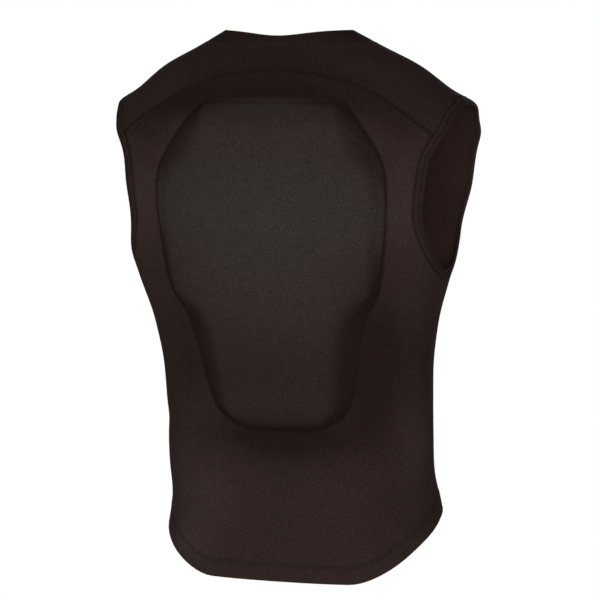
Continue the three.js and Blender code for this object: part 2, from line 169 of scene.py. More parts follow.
# Painted light and shade on the cloth, as soft patches: each patch paints light where its amount is
# above 0 and shade where it is below; UPPER_SHADE is the painted shade above the protector.
UPPER_SHADE = PaintedLightAndShadePatch(0, -58, 125, 30, -0.62)
YOKE_PATCHES = (UPPER_SHADE, PaintedLightAndShadePatch(0, -10, 110, 22, -0.2), PaintedLightAndShadePatch(150, -60, 45, 30, 0.14))
BACK_PATCHES = (
    UPPER_SHADE,
    PaintedLightAndShadePatch(120, -66, 40, 24, -0.4),
    PaintedLightAndShadePatch(160, -102, 30, 28, -0.36),
    PaintedLightAndShadePatch(-122, -70, 40, 24, -0.2),
    PaintedLightAndShadePatch(-158, -97, 28, 26, -0.3),
    PaintedLightAndShadePatch(0, -205, 140, 75, 0.2),
    PaintedLightAndShadePatch(-168, -190, 35, 70, 0.15),
    PaintedLightAndShadePatch(0, -395, 300, 60, -0.25),
    PaintedLightAndShadePatch(-124, -342, 33, 48, -0.47),
    PaintedLightAndShadePatch(-112, -430, 36, 50, -0.37),
    PaintedLightAndShadePatch(-165, -480, 25, 60, 0.3),
    PaintedLightAndShadePatch(85, -365, 22, 45, 0.12),
    PaintedLightAndShadePatch(168, -190, 30, 70, 0.12),
    PaintedLightAndShadePatch(-5, -476, 95, 30, -0.55),
    PaintedLightAndShadePatch(-2, -474, 62, 6, -0.25),
    PaintedLightAndShadePatch(120, -612, 28, 26, 0.35),
    PaintedLightAndShadePatch(105, -555, 55, 50, 0.26),
    PaintedLightAndShadePatch(-150, -540, 50, 60, -0.18),
    PaintedLightAndShadePatch(130, -270, 40, 40, -0.17),
    PaintedLightAndShadePatch(113, -328, 42, 32, -0.22),
    PaintedLightAndShadePatch(116, -385, 20, 40, -0.2),
    PaintedLightAndShadePatch(-135, -268, 45, 35, -0.18),
)
# The cover adds its own painted light along its top edge, above its foot and on its side slopes.
COVER_PATCHES = (
    *BACK_PATCHES,
    PaintedLightAndShadePatch(0, -71, 80, 9, 0.95),
    PaintedLightAndShadePatch(0, -80, 80, 8, 0.25),
    PaintedLightAndShadePatch(0, -458, 50, 8, 0.28),
    PaintedLightAndShadePatch(141, -195, 13, 45, 0.75),
    PaintedLightAndShadePatch(-143, -235, 14, 66, 0.8),
)
# Depths y between which the patches of painted light and shade fade in on the way to the back.
BACK_FROM: Span = (-60, -10)


@dataclass(frozen=True)
class SoftBump:
    """Soft dent or swell of the worn cloth: its place, its reach round the body and up, and its lift."""

    angle: float
    z: float
    around: float
    along: float
    lift: float


SOFT_BUMPS = (
    SoftBump(math.radians(-100), -566, 50, 30, 9.0),
    SoftBump(math.radians(-88), -592, 40, 22, 5.0),
    SoftBump(math.radians(75), -556, 60, 30, -4.5),
    SoftBump(math.radians(80), -462, 22, 12, -2.0),
)
GIRTH_RADIUS = 165.0
# Painted shade along the seams: how much it lowers the stretch at a seam, and its reach in millimetres.
SEAM_SHADE = 0.6
SEAM_REACH = 2.4


def shares(count: int) -> Array:
    """Returns count + 1 even shares from 0 to 1."""
    return np.linspace(0.0, 1.0, count + 1)


def smooth(low: float, high: float, value: Array) -> Array:
    """Returns 0 below low, 1 above high and an even S between them."""
    t = np.clip((value - low) / (high - low), 0.0, 1.0)
    return t * t * (3 - 2 * t)


def eased_shares(count: int) -> Array:
    """Returns count + 1 shares from 0 to 1 that lie closer together near both ends."""
    even = shares(count)
    return (even + smooth(0.0, 1.0, even)) / 2


def seam_shade(distance: Array) -> Array:
    """Returns the painted shade at distances in millimetres from a seam, as how much it lowers the
    stretch.
    """
    return SEAM_SHADE * np.exp(-((distance / SEAM_REACH) ** 2))


def unit(vectors: Array) -> Array:
    """Returns vectors of length 1 with the same directions."""
    return vectors / np.linalg.norm(vectors, axis=-1, keepdims=True)


def run_along(points: Array, axis: int = 0) -> Array:
    """Returns how far each point lies from the first one, along the lines of a grid or a chain."""
    first = np.take(points, [0], axis=axis)
    return np.linalg.norm(np.diff(points, axis=axis, prepend=first), axis=-1).cumsum(axis=axis)


def mixed(first: Array, last: Array, share: Array) -> Array:
    """Returns the places that lie at a share of the way from first to last."""
    return first + (last - first) * np.asarray(share)[..., None]


def joined(*chains: Array) -> Array:
    """Returns chains set end to end, each sharing its first place with the last one before it."""
    return np.concatenate([chains[0], *(chain[1:] for chain in chains[1:])])


def mirrored(chain: Array) -> Array:
    """Returns the same places on the other side of the spine."""
    return chain * np.array([-1.0, 1.0])


def both_halves(half: Array) -> Array:
    """Returns a line from its left half: that half, and then back along its mirror image."""
    return joined(half, mirrored(half[::-1]))


def cloth_uv(places: Array) -> Array:
    """Returns the cloth coordinates of places on a plain panel, in metres."""
    return places * np.array([METRES_PER_RADIAN, MM])


class HeightCurves:
    """Smooth curves through the columns of a table of heights, with no overshoot between its rows."""

    def __init__(self, rows: Sequence[Any]) -> None:
        """Sorts the table and keeps each column as an array.

        Args:
            rows: dataclass rows that have a height z.
        """
        ordered = sorted(rows, key=lambda row: row.z)
        self.heights = np.array([row.z for row in ordered], float)
        self.columns = {
            column.name: np.array([getattr(row, column.name) for row in ordered], float)
            for column in fields(ordered[0])
        }

    def at(self, name: str, z: Array) -> Array:
        """Reads one column at any heights.

        Args:
            name: the column.
            z: heights in millimetres.

        Returns:
            The column's values there.
        """
        values = self.columns[name]
        span = np.diff(self.heights)
        rate = np.diff(values) / span
        before, after = rate[:-1], rate[1:]
        turning = before * after <= 0
        total = np.where(turning, 1.0, before + after)
        inner = np.where(turning, 0.0, 2 * before * after / total)
        slope = np.concatenate([rate[:1], inner, rate[-1:]])
        low = np.clip(np.searchsorted(self.heights, z, side="right") - 1, 0, len(span) - 1)
        t = np.clip((z - self.heights[low]) / span[low], 0.0, 1.0)
        bend = span[low] * (slope[low] * t * (1 - t) ** 2 + slope[low + 1] * t * t * (t - 1))
        return values[low] + (values[low + 1] - values[low]) * t * t * (3 - 2 * t) + bend


class BodyForm:
    """Outer face of the cloth round the wearer's trunk."""

    TURN_STEP = np.array([0.001, 0.0])
    RISE_STEP = np.array([0.0, 0.2])

    def __init__(self, sections: Sequence[Section]) -> None:
        """Keeps the sections as curves."""
        self.curves = HeightCurves(sections)

    def depths(self, behind: Array, z: Array) -> tuple[Array, Array]:
        """Reads depth and squareness of the back or the front.

        Args:
            behind: true where the back is asked for.
            z: heights.

        Returns:
            Depths and squarenesses.
        """
        at = self.curves.at
        depth = np.where(behind, at("back", z), at("front", z))
        square = np.where(behind, at("back_square", z), at("front_square", z))
        return depth, square

    def points(self, places: Array) -> Array:
        """Gives the points of the cloth's face at places.

        Args:
            places: angles and heights in the last axis.

        Returns:
            Points in millimetres.
        """
        angle, z = places[..., 0], places[..., 1]
        across, along = np.sin(angle), np.cos(angle)
        depth, square = self.depths(along >= 0, z)
        half = self.curves.at("half", z)
        radius = (np.abs(across / half) ** square + np.abs(along / depth) ** square) ** (-1 / square)
        return np.stack([radius * across, self.curves.at("lean", z) + radius * along, z], axis=-1)

    def normals(self, places: Array) -> Array:
        """Gives the directions out of the cloth at places.

        Args:
            places: angles and heights in the last axis.

        Returns:
            Vectors of length 1.
        """
        around = self.points(places + self.TURN_STEP) - self.points(places - self.TURN_STEP)
        up = self.points(places + self.RISE_STEP) - self.points(places - self.RISE_STEP)
        return unit(np.cross(up, around))

    def places_of(self, points: Array) -> Array:
        """Gives the places that points near the cloth belong to.

        Args:
            points: points in millimetres.

        Returns:
            Their angles and heights.
        """
        z = points[..., 2]
        angle = np.arctan2(points[..., 0], points[..., 1] - self.curves.at("lean", z))
        return np.stack([angle, z], axis=-1)

    def back_places(self, x: Array, z: Array) -> Array:
        """Gives the places on the back with a given x.

        Args:
            x: distances from the spine, positive to the wearer's left.
            z: heights.

        Returns:
            Places on the back.
        """
        depth, square = self.depths(np.full(np.shape(z), True), z)
        share = np.minimum(np.abs(x) / self.curves.at("half", z), 1.0)
        return np.stack([np.arctan2(x, depth * (1 - share**square) ** (1 / square)), z], axis=-1)

    def side_places(self, y: Array, z: Array) -> Array:
        """Gives the places on the left side with a given y.

        Args:
            y: distances behind the origin.
            z: heights.

        Returns:
            Places on the left side.
        """
        behind = y - self.curves.at("lean", z)
        depth, square = self.depths(behind >= 0, z)
        share = np.minimum(np.abs(behind) / depth, 1.0)
        width = self.curves.at("half", z) * (1 - share**square) ** (1 / square)
        return np.stack([np.arctan2(width, behind), z], axis=-1)

    def offset(self, chain: Array, distance: float) -> Array:
        """Moves a line of places sideways along the cloth.

        Args:
            chain: places along the line.
            distance: millimetres to the side that lies to the left of the line, seen from outside.

        Returns:
            Places along the moved line.
        """
        points = self.points(chain)
        sideways = unit(np.cross(self.normals(chain), np.gradient(points, axis=0)))
        return self.places_of(points + sideways * distance)


class EdgeLine:
    """Edge that runs round the body, with a height at each angle."""

    def height(self, angle: Array) -> Array:
        """Returns the edge's height by angle."""
        raise NotImplementedError

    def places(self, angle: Array) -> Array:
        """Returns the edge's places by angle."""
        return np.stack([angle, self.height(angle)], axis=-1)


@dataclass(frozen=True)
class NeckLine(EdgeLine):
    """Edge round the neck: its height at the back, the sides and the front."""

    back: float
    side: float
    front: float

    def height(self, angle: Array) -> Array:
        """Returns the edge's height by angle."""
        end = np.where(np.cos(angle) >= 0, self.back, self.front)
        return end + (self.side - end) * np.sin(angle) ** 2


@dataclass(frozen=True)
class Hem(EdgeLine):
    """Lower edge: its height behind and in front, and the angles from the spine where it rises."""

    back: float = -647
    front: float = -567
    rise: Span = (math.radians(45), math.radians(104))

    def height(self, angle: Array) -> Array:
        """Returns the edge's height by angle."""
        from_spine = np.arccos(np.cos(angle))
        return self.back + (self.front - self.back) * smooth(*self.rise, from_spine)


@dataclass(frozen=True)
class Armhole:
    """Left armhole from the side: top, foot, middle, reach back and forward, and its band's width."""

    top: float = -72
    foot: float = -270
    middle: float = -11
    back: float = 78
    front: float = 99
    band: float = 10
    turn_step: float = 0.01

    def edge(self, body: BodyForm, turn: Array) -> Array:
        """Gives the places of the opening's edge.

        Args:
            body: the body form.
            turn: 0 at the shoulder, a quarter turn behind, half a turn at the armpit.

        Returns:
            Places on the left side.
        """
        reach = np.where(np.sin(turn) >= 0, self.back, self.front)
        z = (self.top + self.foot) / 2 + (self.top - self.foot) / 2 * np.cos(turn)
        return body.side_places(self.middle + reach * np.sin(turn), z)

    def seam(self, body: BodyForm, turn: Array) -> Array:
        """Gives the places of the band's seam, one band's width out from the edge.

        Args:
            body: the body form.
            turn: turns as for the edge.

        Returns:
            Places on the left side.
        """
        place = self.edge(body, turn)
        ahead = body.points(self.edge(body, turn + self.turn_step))
        behind = body.points(self.edge(body, turn - self.turn_step))
        out = unit(np.cross(body.normals(place), ahead - behind))
        return body.places_of(body.points(place) + out * self.band)


@dataclass(frozen=True)
class YokeSeam:
    """Seam across the upper back: height at the spine and its drop at a given half width."""

    spine: float = -35
    drop: float = 72
    half: float = 190
    power: float = 2.25
    knee: float = 108

    def height(self, x: Array) -> Array:
        """Returns the seam's height by x."""
        return self.spine - self.drop * (np.abs(x) / self.half) ** self.power


@dataclass
class Pattern:
    """Seam lines of the jersey, left halves, each sampled once for the pieces on both its sides."""

    body: BodyForm
    fine: int = 3
    neck_seam: NeckLine = NeckLine(-7, 0, -80)
    neck_top: NeckLine = NeckLine(7, 14, -62)
    hem: Hem = Hem()
    armhole: Armhole = Armhole()
    yoke: YokeSeam = YokeSeam()
    neck_corner_angle: float = math.radians(112)
    neck_arm_angle: float = math.radians(86)
    neck_knee_angle: float = math.radians(58)
    shoulder_turn: float = math.radians(-25)
    across_steps: int = 10
    yoke_end_steps: int = 4
    arm_back_steps: int = 9
    arm_front_steps: int = 11
    arm_top_steps: int = 8
    shoulder_steps: int = 5
    throat_steps: int = 5
    turn_halvings: int = 40

    def __post_init__(self) -> None:
        """Samples the seams."""
        body, armhole = self.body, self.armhole
        self.protector = HeightCurves(PROTECTOR)
        across = self.fine_shares(self.across_steps)
        yoke_turn = self.find_yoke_turn()
        yoke_half = body.points(armhole.seam(body, np.array([yoke_turn])))[0, 0]
        x = joined(
            across * self.yoke.knee,
            self.fine_span(self.yoke.knee, yoke_half, self.yoke_end_steps),
        )
        self.yoke_line = body.back_places(x, self.yoke.height(x))
        top_turns = self.fine_span(self.shoulder_turn, yoke_turn, self.arm_top_steps)
        back_turns = self.fine_span(yoke_turn, HALF_TURN, self.arm_back_steps)
        front_turns = self.fine_span(HALF_TURN, FULL_TURN + self.shoulder_turn, self.arm_front_steps)
        self.arm_turns = joined(top_turns, back_turns, front_turns)
        self.arm_top = armhole.seam(body, top_turns)
        self.arm_back = armhole.seam(body, back_turns)
        self.arm_front = armhole.seam(body, front_turns)
        side_steps = sum(row.steps for row in PROTECTOR) - self.yoke_end_steps - self.arm_back_steps
        hem_corner = self.hem.places(np.array([QUARTER]))
        self.side = mixed(self.arm_back[-1:], hem_corner, self.fine_shares(side_steps))
        self.back_hem = self.hem.places(QUARTER * (1 - across))
        self.front_hem = self.hem.places(QUARTER * (1 + across))
        neck_corner = self.neck_seam.places(np.array([self.neck_corner_angle]))
        self.shoulder = mixed(neck_corner, self.arm_top[:1], self.fine_shares(self.shoulder_steps))
        throat_angles = self.fine_span(self.neck_corner_angle, HALF_TURN, self.throat_steps)
        self.throat = self.neck_seam.places(throat_angles)
        self.nape_angles = self.spread_nape_angles()

    def fine_shares(self, steps: int) -> Array:
        """Returns even shares from 0 to 1 for a number of coarse steps."""
        return shares(steps * self.fine)

    def fine_span(self, first: float, last: float, steps: int) -> Array:
        """Returns even values from first to last for a number of coarse steps."""
        return np.linspace(first, last, steps * self.fine + 1)

    def find_yoke_turn(self) -> float:
        """Finds where the yoke seam runs into the armhole band.

        Returns:
            The armhole's turn there.
        """
        above, below = 0.0, QUARTER
        for _ in range(self.turn_halvings):
            middle = (above + below) / 2
            place = self.armhole.seam(self.body, np.array([middle]))
            x = self.body.points(place)[0, 0]
            if place[0, 1] > self.yoke.height(x):
                above = middle
            else:
                below = middle
        return above

    def spread_nape_angles(self) -> Array:
        """Spreads places of the neck seam to face the yoke's outer edge.

        Returns:
            Angles from the left front corner round the nape to the right one.
        """
        left = joined(
            self.fine_span(self.neck_corner_angle, self.neck_arm_angle, self.arm_top_steps),
            self.fine_span(self.neck_arm_angle, self.neck_knee_angle, self.yoke_end_steps),
            self.fine_span(self.neck_knee_angle, 0.0, self.across_steps),
        )
        return joined(left, -left[::-1])

    def cover_heights(self) -> Array:
        """Returns the heights of the cover's rows, from its top seam down."""
        rows = zip(PROTECTOR, PROTECTOR[1:])
        return joined(*(self.fine_span(row.z, below.z, row.steps) for row, below in rows))

    def cover_seam(self) -> Array:
        """Gives the left half of the cover's seam.

        Returns:
            Places from the spine at its top to the spine at its foot.
        """
        heights = self.cover_heights()
        widths = self.protector.at("seam", heights)
        across = self.fine_shares(self.across_steps)
        x = joined(across * widths[0], widths, (1 - across) * widths[-1])
        z = joined(np.full(across.shape, heights[0]), heights, np.full(across.shape, heights[-1]))
        return self.body.back_places(x, z)

    def swell(self, places: Array) -> Array:
        """Tells how far the worn cloth stands off the body form.

        Args:
            places: angles and heights.

        Returns:
            Millimetres outwards.
        """
        total = np.zeros(places.shape[:-1])
        for bump in SOFT_BUMPS:
            turn = (places[..., 0] - bump.angle + HALF_TURN) % FULL_TURN - HALF_TURN
            around = turn * GIRTH_RADIUS / bump.around
            along = (places[..., 1] - bump.z) / bump.along
            total += bump.lift * np.exp(-(around**2) - along**2)
        return total

    def tone(self, places: Array, patches: Sequence[PaintedLightAndShadePatch]) -> Array:
        """Tells how much painted light (above 0) and painted shade (below 0) the patches add on the
        back.

        Args:
            places: angles and heights.
            patches: the patches that count there.

        Returns:
            What they add to the stretch.
        """
        points = self.body.points(places)
        behind = smooth(*BACK_FROM, points[..., 1])
        total = np.zeros(points.shape[:-1])
        for patch in patches:
            across = (points[..., 0] - patch.x) / patch.across
            along = (points[..., 2] - patch.z) / patch.along
            total += patch.amount * behind * np.exp(-(across**2) - along**2)
        return total


@dataclass
class Drape:
    """Grid of cloth over the body form, row by row.

    Attributes:
        places: angles and heights.
        lift: millimetres out from the body form.
        stretch: how tight the knit is drawn, 0 slack to 1 tight; painted light raises it and painted
            shade lowers it.
        uv: cloth coordinates in metres, along the courses and along the wales.
    """

    places: Array
    lift: Array
    stretch: Array
    uv: Array

    def __post_init__(self) -> None:
        """Keeps the stretch between slack and tight."""
        self.stretch = np.clip(self.stretch, 0.0, 1.0)

    def points(self, body: BodyForm) -> Array:
        """Returns the points of the cloth's outer face in millimetres."""
        return body.points(self.places) + body.normals(self.places) * self.lift[..., None]


class Nodes:
    """Adds nodes to one node tree and links them."""

    def __init__(self, tree: bpy.types.NodeTree) -> None:
        """Keeps the tree."""
        self.tree = tree

    def add(self, kind: str, feeds: dict[Any, Any] | None = None, **settings: Any) -> bpy.types.Node:
        """Adds a node.

        Args:
            kind: the node's type name.
            feeds: sockets or values for its inputs, by name or number.
            **settings: its properties.

        Returns:
            The node.
        """
        node = self.tree.nodes.new(kind)
        for name, value in settings.items():
            setattr(node, name, value)
        for key, source in (feeds or {}).items():
            self.feed(node.inputs[key], source)
        return node

    def feed(self, socket: bpy.types.NodeSocket, source: Any) -> None:
        """Links a socket to another one, or sets its value.

        Args:
            socket: the input that is fed.
            source: an output, or a value.
        """
        if isinstance(source, bpy.types.NodeSocket):
            self.tree.links.new(source, socket)
        else:
            socket.default_value = source

    def math(self, operation: str, *sources: Any) -> bpy.types.NodeSocket:
        """Adds a Math node and returns its output."""
        return self.add("ShaderNodeMath", dict(enumerate(sources)), operation=operation).outputs[0]

    def ramp(self, value: Any, given: Span, result: Span) -> bpy.types.NodeSocket:
        """Adds a Map Range node that turns one span smoothly into another, and returns its output."""
        feeds = dict(enumerate((value, *given, *result)))
        return self.add("ShaderNodeMapRange", feeds, interpolation_type="SMOOTHSTEP").outputs[0]

    def mix_colours(self, share: Any, first: Any, last: Any, blend: str = "MIX") -> bpy.types.NodeSocket:
        """Adds a Mix node for two colours, its sockets 6 and 7, and returns its colour output."""
        feeds = {0: share, 6: first, 7: last}
        return self.add("ShaderNodeMix", feeds, data_type="RGBA", blend_type=blend).outputs[2]


class KnitGrain:
    """Node group for the loops of a fine stretch knit and the mottle of its yarn."""

    NAME = "knit_grain"
    YARN = {"Scale": 620.0, "Detail": 2.0}
    FUZZ = {"Scale": 1900.0, "Detail": 1.0}
    YARN_SHARE = 0.6
    LOOP_DEPTH = 0.3
    WALE_MIDDLE = 0.5
    SOCKETS = (
        ("Vector", "INPUT", "NodeSocketVector"),
        ("Place", "INPUT", "NodeSocketVector"),
        ("Wale", "INPUT", "NodeSocketFloat"),
        ("Course", "INPUT", "NodeSocketFloat"),
        ("Height", "OUTPUT", "NodeSocketFloat"),
        ("Mottle", "OUTPUT", "NodeSocketFloat"),
    )

    @classmethod
    def group(cls) -> bpy.types.NodeTree:
        """Returns the group, and builds it the first time."""
        return bpy.data.node_groups.get(cls.NAME) or cls.build()

    @classmethod
    def build(cls) -> bpy.types.NodeTree:
        """Builds the group.

        Returns:
            The group, with the inputs Vector for the loops, Place for the mottle, Wale and Course in
            metres, and the outputs Height and Mottle.
        """
        tree = bpy.data.node_groups.new(cls.NAME, "ShaderNodeTree")
        for name, way, kind in cls.SOCKETS:
            tree.interface.new_socket(name=name, in_out=way, socket_type=kind)
        nodes = Nodes(tree)
        given = nodes.add("NodeGroupInput").outputs
        split = nodes.add("ShaderNodeSeparateXYZ", {0: given["Vector"]})
        wale = nodes.math("FRACT", nodes.math("DIVIDE", split.outputs[0], given["Wale"]))
        course = nodes.math("DIVIDE", split.outputs[1], given["Course"])
        slant = nodes.math("ABSOLUTE", nodes.math("SUBTRACT", wale, cls.WALE_MIDDLE))
        phase = nodes.math("MULTIPLY", nodes.math("ADD", course, slant), FULL_TURN)
        loops = nodes.math("MULTIPLY_ADD", nodes.math("SINE", phase), cls.LOOP_DEPTH, 1 - cls.LOOP_DEPTH)
        ribs = nodes.math("SINE", nodes.math("MULTIPLY", wale, HALF_TURN))
        yarn, fuzz = (
            nodes.add("ShaderNodeTexNoise", {"Vector": given["Place"], **noise}).outputs[0]
            for noise in (cls.YARN, cls.FUZZ)
        )
        coarse = nodes.math("MULTIPLY", yarn, cls.YARN_SHARE)
        mottle = nodes.math("MULTIPLY_ADD", fuzz, 1 - cls.YARN_SHARE, coarse)
        height = nodes.math("MULTIPLY", ribs, loops)
        nodes.add("NodeGroupOutput", {"Height": height, "Mottle": mottle})
        return tree


@dataclass(frozen=True)
class Finish:
    """Finish of a piece: its darkest and palest colours, its roughness, relief and shine."""

    name: str
    dark: Colour
    pale: Colour
    roughness: float
    unevenness: float
    specular: float
    uneven_from: Span = (0.2, 0.8)
    relief: float = 0.0
    relief_strength: float = 0.0

    def material(self) -> bpy.types.Material:
        """Builds the material the first time.

        Returns:
            The material, with its constant values on the shader's own sockets.
        """
        found = bpy.data.materials.get(self.name)
        if found:
            return found
        made = bpy.data.materials.new(self.name)
        made.use_nodes = True
        made.diffuse_color = self.pale
        shader = made.node_tree.nodes["Principled BSDF"]
        shader.inputs["Specular IOR Level"].default_value = self.specular
        self.dress(Nodes(made.node_tree), shader)
        return made

    def dress(self, nodes: Nodes, shader: bpy.types.Node) -> None:
        """Feeds the shader's inputs that change over the surface."""
        raise NotImplementedError

    def roughen(self, nodes: Nodes, shader: bpy.types.Node, grain: bpy.types.NodeSocket) -> None:
        """Lets the shader's roughness follow a grain."""
        rough = (self.roughness - self.unevenness, self.roughness + self.unevenness)
        nodes.feed(shader.inputs["Roughness"], nodes.ramp(grain, self.uneven_from, rough))

    def emboss(self, nodes: Nodes, shader: bpy.types.Node, height: bpy.types.NodeSocket) -> None:
        """Lets the shader's normal follow a fine relief."""
        feeds = {"Strength": self.relief_strength, "Distance": self.relief, "Height": height}
        nodes.feed(shader.inputs["Normal"], nodes.add("ShaderNodeBump", feeds).outputs[0])


@dataclass(frozen=True)
class KnitFinish(Finish):
    """Finish of a black stretch knit, darker where it lies slack and greyer where it is drawn tight, and
    so also darker under painted shade and paler under painted light.
    """

    dark: Colour = (0.0150, 0.0082, 0.0070, 1.0)
    pale: Colour = (0.0420, 0.0280, 0.0245, 1.0)
    roughness: float = 0.9
    unevenness: float = 0.06
    specular: float = 0.03
    relief: float = 0.00025
    relief_strength: float = 0.6
    worn: Colour = (0.0290, 0.0183, 0.0158, 1.0)
    worn_at: float = 0.6
    wale: float = 0.0011
    course: float = 0.0009
    mottle: float = 0.4
    mottle_from: Span = (0.3, 0.7)
    hem_stitch: float = 20.0
    # Painted shade along the channel of the hem's stitches.
    hem_shade: float = 0.035
    channel_reach: Span = (0.5, 6.0)
    channel_depth: float = 3.0

    def dress(self, nodes: Nodes, shader: bpy.types.Node) -> None:
        """Colours the knit by its stretch, which carries painted light and shade, mottles it, paints
        shade along the channel of the hem's stitches and sinks that channel.

        Args:
            nodes: the material's nodes.
            shader: its shader.
        """
        feeds = {
            "Vector": nodes.add("ShaderNodeUVMap", uv_map=CLOTH_UV).outputs[0],
            "Place": nodes.add("ShaderNodeTexCoord").outputs["Object"],
            "Wale": self.wale,
            "Course": self.course,
        }
        grain = nodes.add("ShaderNodeGroup", feeds, node_tree=KnitGrain.group())
        stretch, above = (
            nodes.add("ShaderNodeAttribute", attribute_name=name).outputs["Fac"]
            for name in (STRETCH_AND_PAINTED_LIGHT, HEM_HEIGHT)
        )
        tone = nodes.add("ShaderNodeValToRGB", {0: stretch})
        stops = tone.color_ramp.elements
        stops[0].color = self.dark
        stops[1].color = self.pale
        stops.new(self.worn_at).color = self.worn
        beside = nodes.math("ABSOLUTE", nodes.math("SUBTRACT", above, self.hem_stitch))
        channel = nodes.ramp(beside, self.channel_reach, (-self.channel_depth, 0.0))
        mottle = grain.outputs["Mottle"]
        grained = nodes.ramp(mottle, self.mottle_from, (1 - self.mottle, 1 + self.mottle))
        # The mottle, darkened by painted shade along the hem's stitch channel.
        shade = nodes.math("MULTIPLY_ADD", channel, self.hem_shade, grained)
        grey = nodes.add("ShaderNodeCombineXYZ", dict.fromkeys(range(3), shade)).outputs[0]
        colour = nodes.mix_colours(1.0, tone.outputs[0], grey, "MULTIPLY")
        nodes.feed(shader.inputs["Base Color"], colour)
        self.roughen(nodes, shader, mottle)
        self.emboss(nodes, shader, nodes.math("ADD", grain.outputs["Height"], channel))


@dataclass(frozen=True)
class ThreadFinish(Finish):
    """Finish of the sewing thread, a little smoother than the cloth."""

    name: str = "sewing_thread"
    dark: Colour = (0.012, 0.008, 0.007, 1.0)
    pale: Colour = (0.026, 0.018, 0.016, 1.0)
    roughness: float = 0.8
    unevenness: float = 0.1
    specular: float = 0.06
    twists_per_metre: float = 900.0

    def dress(self, nodes: Nodes, shader: bpy.types.Node) -> None:
        """Colours the thread by a fine noise that stands for its twist.

        Args:
            nodes: the material's nodes.
            shader: its shader.
        """
        place = nodes.add("ShaderNodeTexCoord").outputs["Object"]
        feeds = {"Vector": place, "Scale": self.twists_per_metre}
        twist = nodes.add("ShaderNodeTexNoise", feeds).outputs[0]
        nodes.feed(shader.inputs["Base Color"], nodes.mix_colours(twist, self.dark, self.pale))
        self.roughen(nodes, shader, twist)


@dataclass(frozen=True)
class FoamFinish(Finish):
    """Finish of the protector's closed-cell foam."""

    name: str = "protector_foam"
    dark: Colour = (0.03, 0.031, 0.033, 1.0)
    pale: Colour = (0.06, 0.062, 0.065, 1.0)
    roughness: float = 0.75
    unevenness: float = 0.1
    specular: float = 0.25
    uneven_from: Span = (0.0, 0.8)
    relief: float = 0.0004
    relief_strength: float = 0.5
    cells_per_metre: float = 650.0

    def dress(self, nodes: Nodes, shader: bpy.types.Node) -> None:
        """Colours and embosses the foam by the cells of a Voronoi pattern.

        Args:
            nodes: the material's nodes.
            shader: its shader.
        """
        place = nodes.add("ShaderNodeTexCoord").outputs["Object"]
        feeds = {"Vector": place, "Scale": self.cells_per_metre}
        cells = nodes.add("ShaderNodeTexVoronoi", feeds, feature="F1").outputs["Distance"]
        nodes.feed(shader.inputs["Base Color"], nodes.mix_colours(cells, self.dark, self.pale))
        self.roughen(nodes, shader, cells)
        self.emboss(nodes, shader, cells)


def new_piece(name: str, bm: bmesh.types.BMesh, material: bpy.types.Material) -> bpy.types.Object:
    """Turns a bmesh into a smooth-shaded object of the scene.

    Args:
        name: the piece's name.
        bm: its mesh, which is freed.
        material: its finish.

    Returns:
        The object, at the origin.
    """
    mesh = bpy.data.meshes.new(name)
    bm.to_mesh(mesh)
    bm.free()
    mesh.materials.append(material)
    mesh.shade_smooth()
    piece = bpy.data.objects.new(name, mesh)
    bpy.context.scene.collection.objects.link(piece)
    return piece


def round_off(piece: bpy.types.Object) -> None:
    """Rounds a piece by one level of subdivision."""
    rounding = piece.modifiers.new("rounding", "SUBSURF")
    rounding.levels = rounding.render_levels = 1


def unit_grid(shape: tuple[int, int]) -> bmesh.types.BMesh:
    """Starts a bmesh as a flat square grid with a vertex for each entry of an array.

    Args:
        shape: rows and columns of the array.

    Returns:
        The bmesh.
    """
    bm = bmesh.new()
    rows, columns = (count - 1 for count in shape)
    bmesh.ops.create_grid(bm, x_segments=columns, y_segments=rows, size=GRID_HALF)
    return bm


def grid_spots(bm: bmesh.types.BMesh, shape: tuple[int, int]) -> dict[Any, tuple[int, int]]:
    """Tells which entry of an array each vertex of a flat grid belongs to.

    Args:
        bm: the grid.
        shape: rows and columns of the array.

    Returns:
        Row and column by vertex.
    """
    rows, columns = (count - 1 for count in shape)
    return {
        vert: (round((vert.co.y + GRID_HALF) * rows), round((vert.co.x + GRID_HALF) * columns))
        for vert in bm.verts
    }


